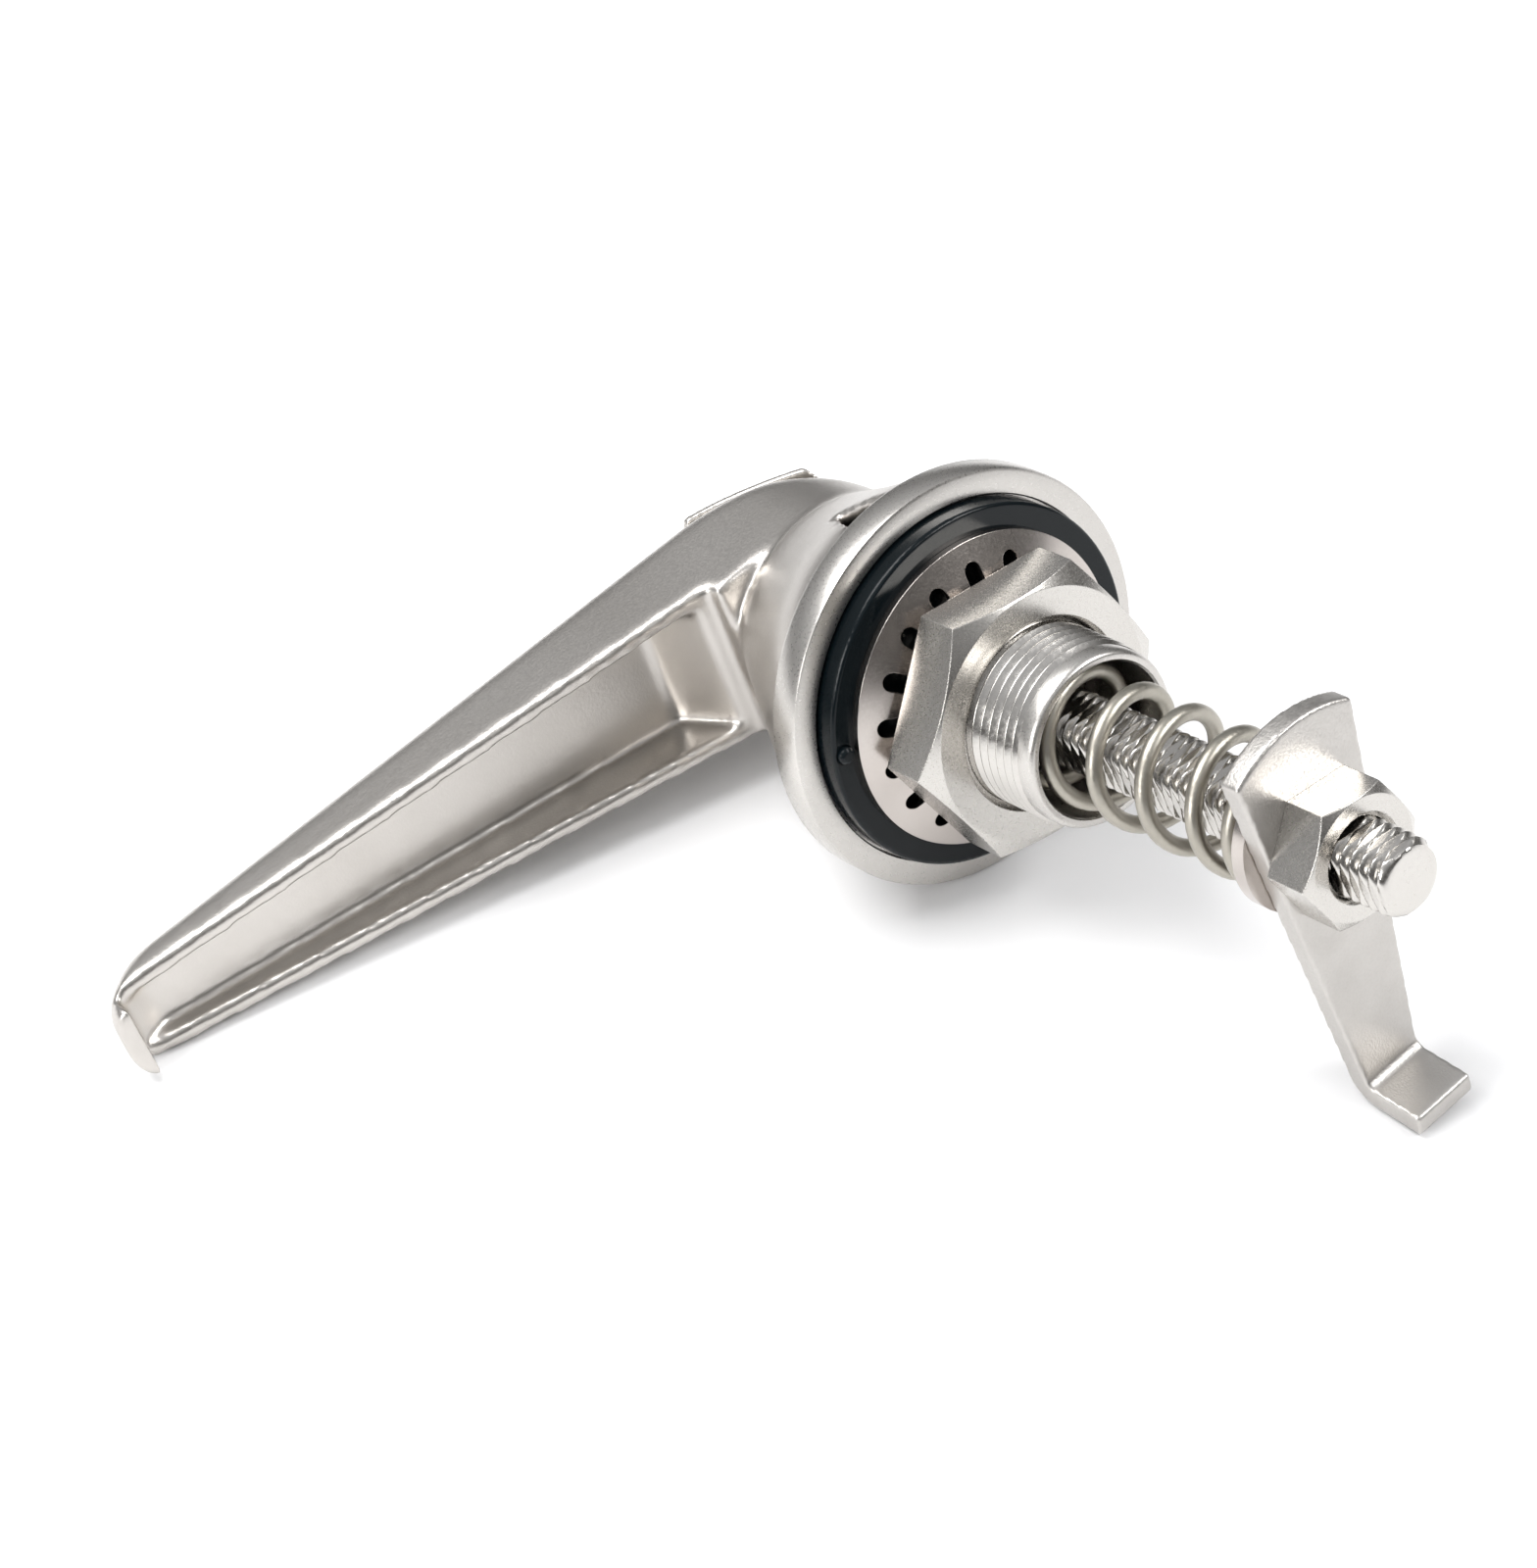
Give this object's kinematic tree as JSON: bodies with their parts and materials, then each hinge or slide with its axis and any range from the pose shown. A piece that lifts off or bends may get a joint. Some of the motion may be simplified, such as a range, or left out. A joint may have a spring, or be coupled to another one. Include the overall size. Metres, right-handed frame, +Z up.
{
  "type": "lever compression latch",
  "caption": "L-handle compression latch: round flange on a threaded barrel with gasket and panel nut, spring-loaded spindle and a bent cam plate.",
  "frame": {"origin": "centre of the flange's back plane, where it lies on the panel, on the spindle axis", "axes": "+Y along the spindle through the panel to the inside, +X along the lever from the spindle to its tip, +Z up with the cam plate hanging down in -Z"},
  "size_m": [0.1353, 0.1346, 0.0686],
  "materials": {
    "cast_steel": "satin",
    "polished_steel": "polished",
    "machined_steel": "satin",
    "spring_steel": "satin",
    "rubber": "glossy",
    "bearing": "matte"
  },
  "bodies": {
    "base": {"base_body": "polished_steel", "locating_pin": "rubber", "bushing": "bearing", "gasket": "rubber", "lock_washer": "machined_steel", "panel_nut": "machined_steel", "spring_seat": "machined_steel", "spring": "spring_steel"},
    "carriage": {"spring_washer": "machined_steel"},
    "handle_set": {"spindle": "machined_steel", "spindle_o_ring": "rubber", "cam_plate": "machined_steel", "cam_nut": "machined_steel", "handle": "cast_steel", "cover_plate": "cast_steel", "handle_screw": "machined_steel", "screw_washer": "machined_steel"}
  },
  "joints": [
    {"name": "cam_lift", "type": "slide", "parent": "base", "child": "carriage", "axis": [0, -1, 0], "range_m": [0, 0.003], "deforming": ["spring"]},
    {"name": "handle_turn", "type": "hinge", "parent": "carriage", "child": "handle_set", "pos_m": [0, 0, 0], "axis": [0, 1, 0], "range_deg": [0, 90]}
  ],
  "couplings": [
    {"joint": "cam_lift", "follows": "handle_turn", "m_per_rad": 0.0019099}
  ]
}
